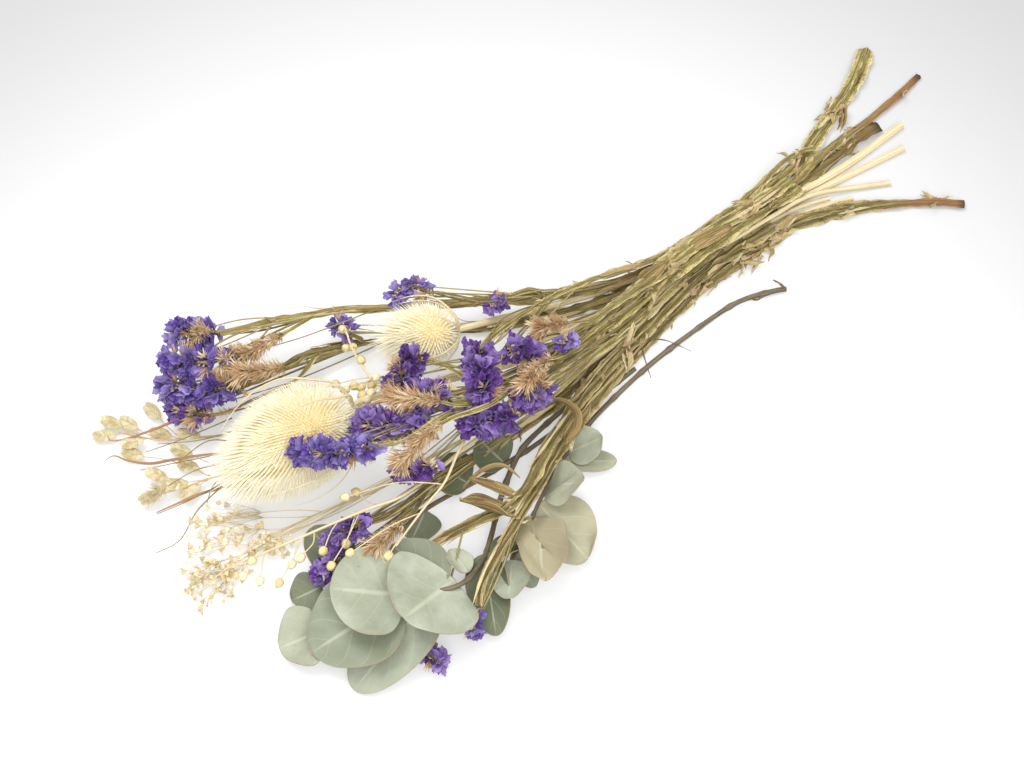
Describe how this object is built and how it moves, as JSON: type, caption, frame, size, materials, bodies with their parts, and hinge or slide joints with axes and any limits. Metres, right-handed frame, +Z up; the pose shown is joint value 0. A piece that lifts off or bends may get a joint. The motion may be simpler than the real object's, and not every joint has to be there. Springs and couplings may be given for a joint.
{
  "type": "dried flower bouquet",
  "caption": "Lying bouquet of dried flowers: spiny teasel heads, violet statice, round eucalyptus leaves, flax bolls and quaking grass, drawn to a waist of bare stems.",
  "frame": {"origin": "centre of the bouquet's bounding box in plan, on the surface it rests on", "axes": "+X along the bouquet from the flower heads to the cut stem ends, +Y across it in the resting plane, +Z up from the surface"},
  "size_m": [0.6175, 0.2801, 0.0759],
  "materials": {
    "teasel_head": "dry, matt cream spines",
    "pale_stem": "dry, matt, faintly ribbed straw",
    "statice_stem": "dry, matt olive brown, ribbed and winged",
    "statice_floret": "dry, papery violet",
    "eucalyptus_leaf": "waxy, matt grey green",
    "flax_boll": "dry, satin straw",
    "broom_bloom": "dry, matt straw yellow",
    "grass_spikelet": "dry, papery straw"
  },
  "bodies": {
    "root": {"broom_spray_1": "broom_bloom", "eucalyptus_branch_1": "eucalyptus_leaf", "eucalyptus_branch_2": "eucalyptus_leaf", "eucalyptus_branch_3": "eucalyptus_leaf", "flax_spray_1": "flax_boll", "flax_spray_2": "flax_boll", "flax_spray_3": "flax_boll", "grass_spray_1": "grass_spikelet", "grass_spray_2": "grass_spikelet", "statice_bloom_1": "statice_floret", "statice_bloom_10": "statice_floret", "statice_bloom_11": "statice_floret", "statice_bloom_12": "statice_floret", "statice_bloom_13": "statice_floret", "statice_bloom_14": "statice_floret", "statice_bloom_15": "statice_floret", "statice_bloom_16": "statice_floret", "statice_bloom_17": "statice_floret", "statice_bloom_18": "statice_floret", "statice_bloom_19": "statice_floret", "statice_bloom_2": "statice_floret", "statice_bloom_20": "statice_floret", "statice_bloom_21": "statice_floret", "statice_bloom_3": "statice_floret", "statice_bloom_4": "statice_floret", "statice_bloom_5": "statice_floret", "statice_bloom_6": "statice_floret", "statice_bloom_7": "statice_floret", "statice_bloom_8": "statice_floret", "statice_bloom_9": "statice_floret", "statice_stem_1": "statice_stem", "statice_stem_10": "statice_stem", "statice_stem_2": "statice_stem", "statice_stem_3": "statice_stem", "statice_stem_4": "statice_stem", "statice_stem_5": "statice_stem", "statice_stem_6": "statice_stem", "statice_stem_7": "statice_stem", "statice_stem_8": "statice_stem", "statice_stem_9": "statice_stem", "teasel_head_large": "teasel_head", "teasel_head_small": "teasel_head", "teasel_stem_large": "pale_stem", "teasel_stem_small": "pale_stem"}
  },
  "joints": []
}
